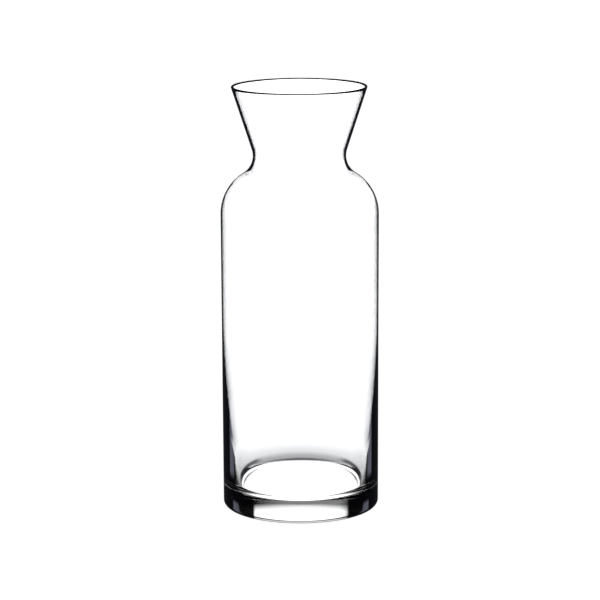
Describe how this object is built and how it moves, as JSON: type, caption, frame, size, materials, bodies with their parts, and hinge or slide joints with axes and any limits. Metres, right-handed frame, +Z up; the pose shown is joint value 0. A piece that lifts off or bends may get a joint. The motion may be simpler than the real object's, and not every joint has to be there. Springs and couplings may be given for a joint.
{
  "type": "water carafe",
  "caption": "Clear glass water carafe with a straight round body, rounded shoulder, narrow waist, flared open mouth and thick heavy base.",
  "frame": {"origin": "centre of the plane that the foot rests on", "axes": "+Z up the axis of the round, out of the mouth; X and Y are any two level directions, as the shape is round"},
  "size_m": [0.0924, 0.0924, 0.2502],
  "materials": {
    "clear_glass": "clear, fire polished"
  },
  "bodies": {
    "root": {"glass_carafe": "clear_glass"}
  },
  "joints": []
}
